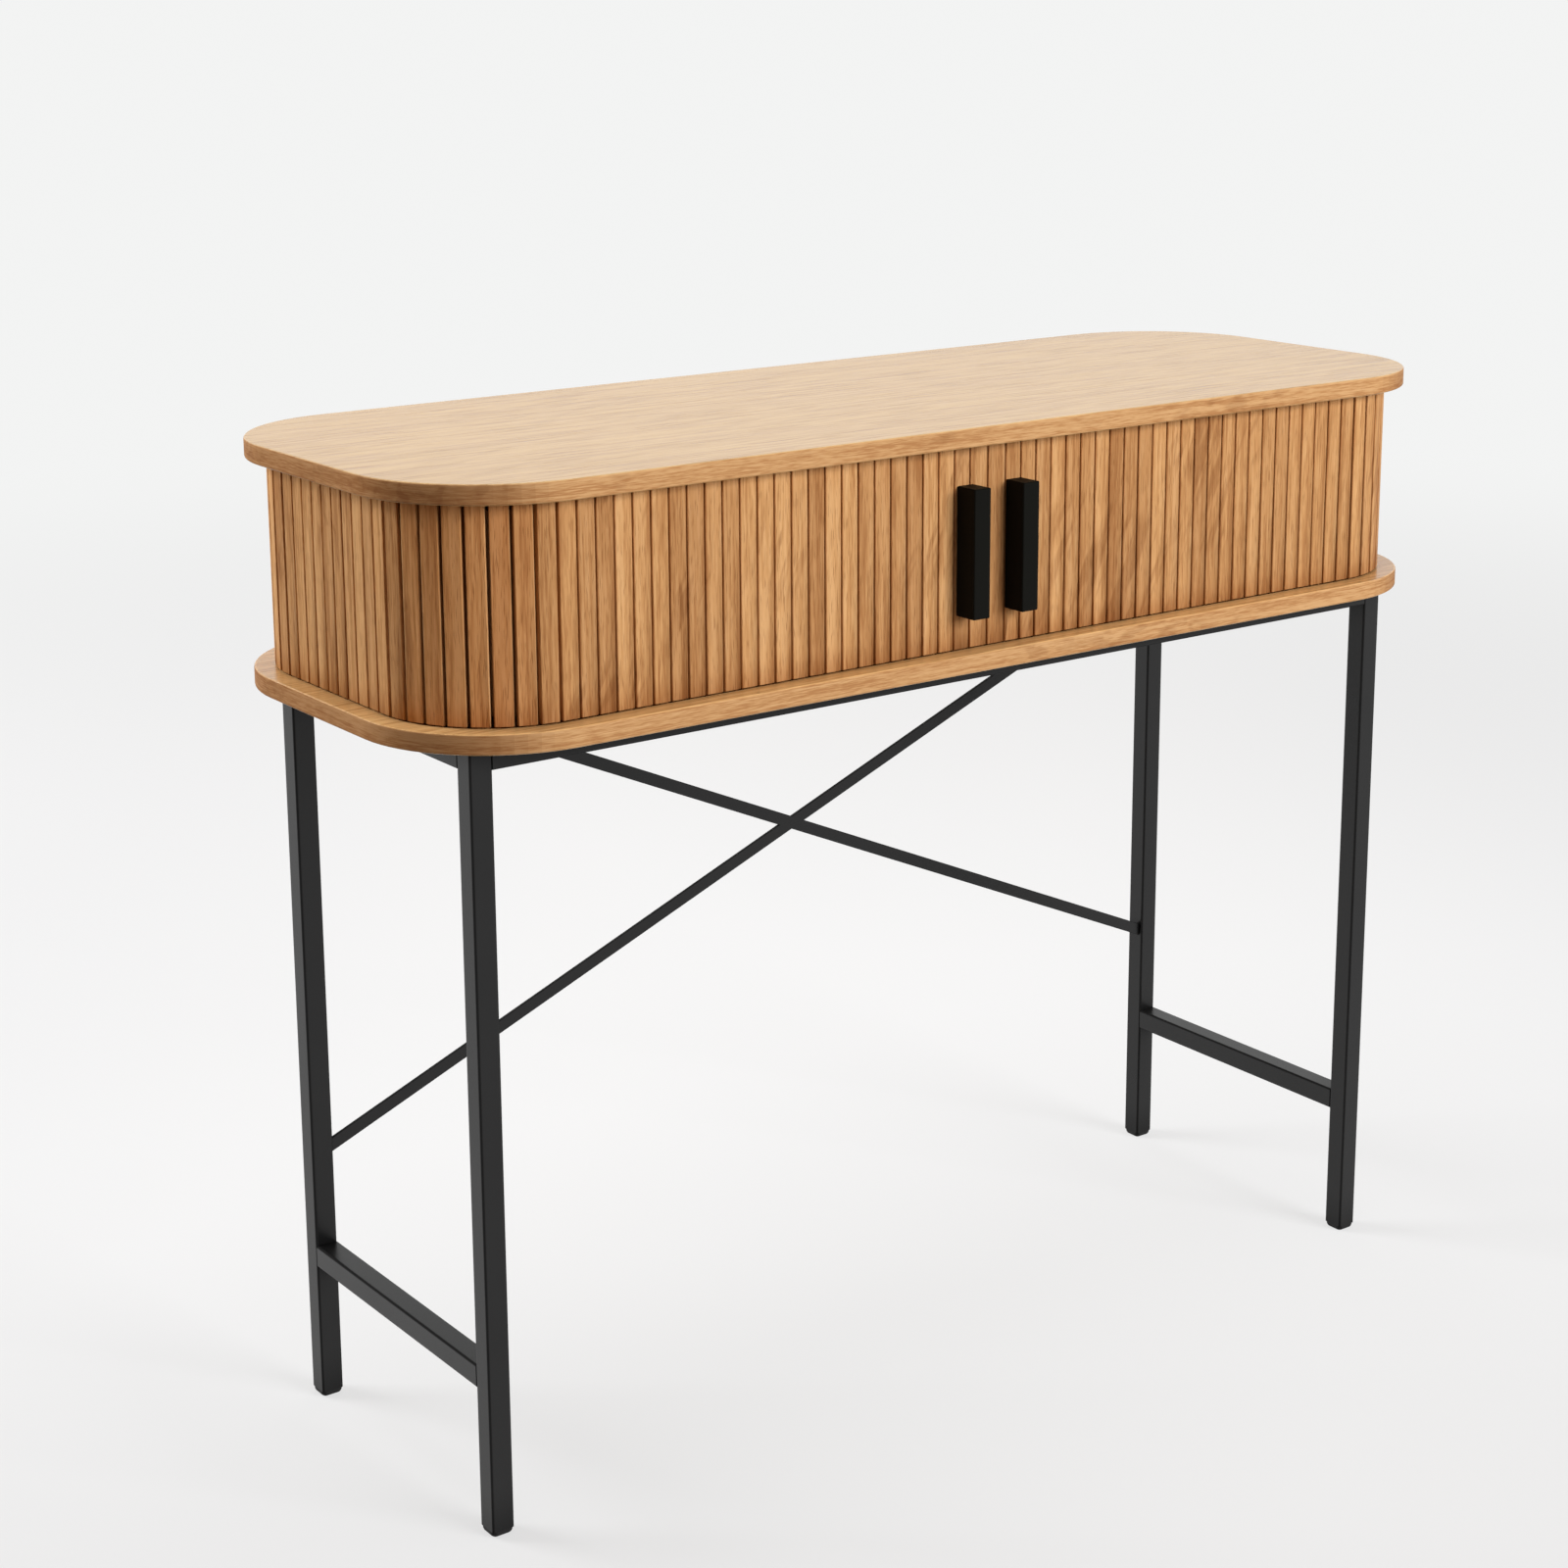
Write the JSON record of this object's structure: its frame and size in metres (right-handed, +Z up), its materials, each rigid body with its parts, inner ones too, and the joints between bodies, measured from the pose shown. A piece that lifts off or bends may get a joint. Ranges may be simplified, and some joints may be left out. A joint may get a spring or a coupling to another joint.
{
  "type": "tambour desk",
  "caption": "Narrow desk with a round-cornered oak case closed by two sliding slat curtains with bar handles, on a black square-tube frame with a rear cross brace.",
  "frame": {"origin": "on the floor under the middle of the boards", "axes": "+X along the desk to its right, +Y from the curtains to the back, +Z up"},
  "size_m": [1, 0.372, 0.795],
  "materials": {
    "oak_board": "satin oak veneer",
    "oak_slat": "satin oak",
    "oak_panel": "matt oak veneer",
    "dowel_wood": "plain beech",
    "canvas": "woven cotton",
    "black_steel": "satin powder coat",
    "black_handle": "matt powder coat",
    "black_plastic": "moulded",
    "zinc_screw": "zinc plated"
  },
  "bodies": {
    "carcass": {"top_board": "oak_board", "lower_board": "oak_board", "left_inner_side": "oak_panel", "right_inner_side": "oak_panel", "centre_divider": "oak_panel", "inner_back": "oak_panel", "rear_panel": "oak_panel", "rear_stop_block": "oak_panel", "carcass_dowels": "dowel_wood", "left_front_slats": "oak_slat", "left_front_canvas": "canvas", "left_front_corner_slats": "oak_slat", "left_side_slats": "oak_slat", "left_rear_corner_slats": "oak_slat", "left_fixed_canvas": "canvas", "right_front_slats": "oak_slat", "right_front_canvas": "canvas", "right_front_corner_slats": "oak_slat", "right_side_slats": "oak_slat", "right_rear_corner_slats": "oak_slat", "right_fixed_canvas": "canvas", "front_rail": "black_steel", "front_left_leg": "black_steel", "front_right_leg": "black_steel", "rear_rail": "black_steel", "rear_left_leg": "black_steel", "rear_right_leg": "black_steel", "left_rail": "black_steel", "left_stretcher": "black_steel", "right_rail": "black_steel", "right_stretcher": "black_steel", "brace_long_bar": "black_steel", "brace_lower_bar": "black_steel", "brace_upper_bar": "black_steel", "foot_caps": "black_plastic", "mounting_tabs": "black_steel", "frame_screws": "zinc_screw"},
    "left_door": {"left_door_lead_slat": "oak_slat", "left_door_handle_slat": "oak_slat", "left_door_canvas": "canvas", "left_handle": "black_handle", "left_handle_screws": "zinc_screw"},
    "right_door": {"right_door_lead_slat": "oak_slat", "right_door_handle_slat": "oak_slat", "right_door_canvas": "canvas", "right_handle": "black_handle", "right_handle_screws": "zinc_screw"}
  },
  "joints": [
    {"name": "left_door_slide", "type": "slide", "parent": "carcass", "child": "left_door", "axis": [-1, 0, 0], "range_m": [0, 0.3356], "deforming": ["left_front_slats", "left_front_canvas"]},
    {"name": "right_door_slide", "type": "slide", "parent": "carcass", "child": "right_door", "axis": [1, 0, 0], "range_m": [0, 0.3509], "deforming": ["right_front_slats", "right_front_canvas"]}
  ]
}
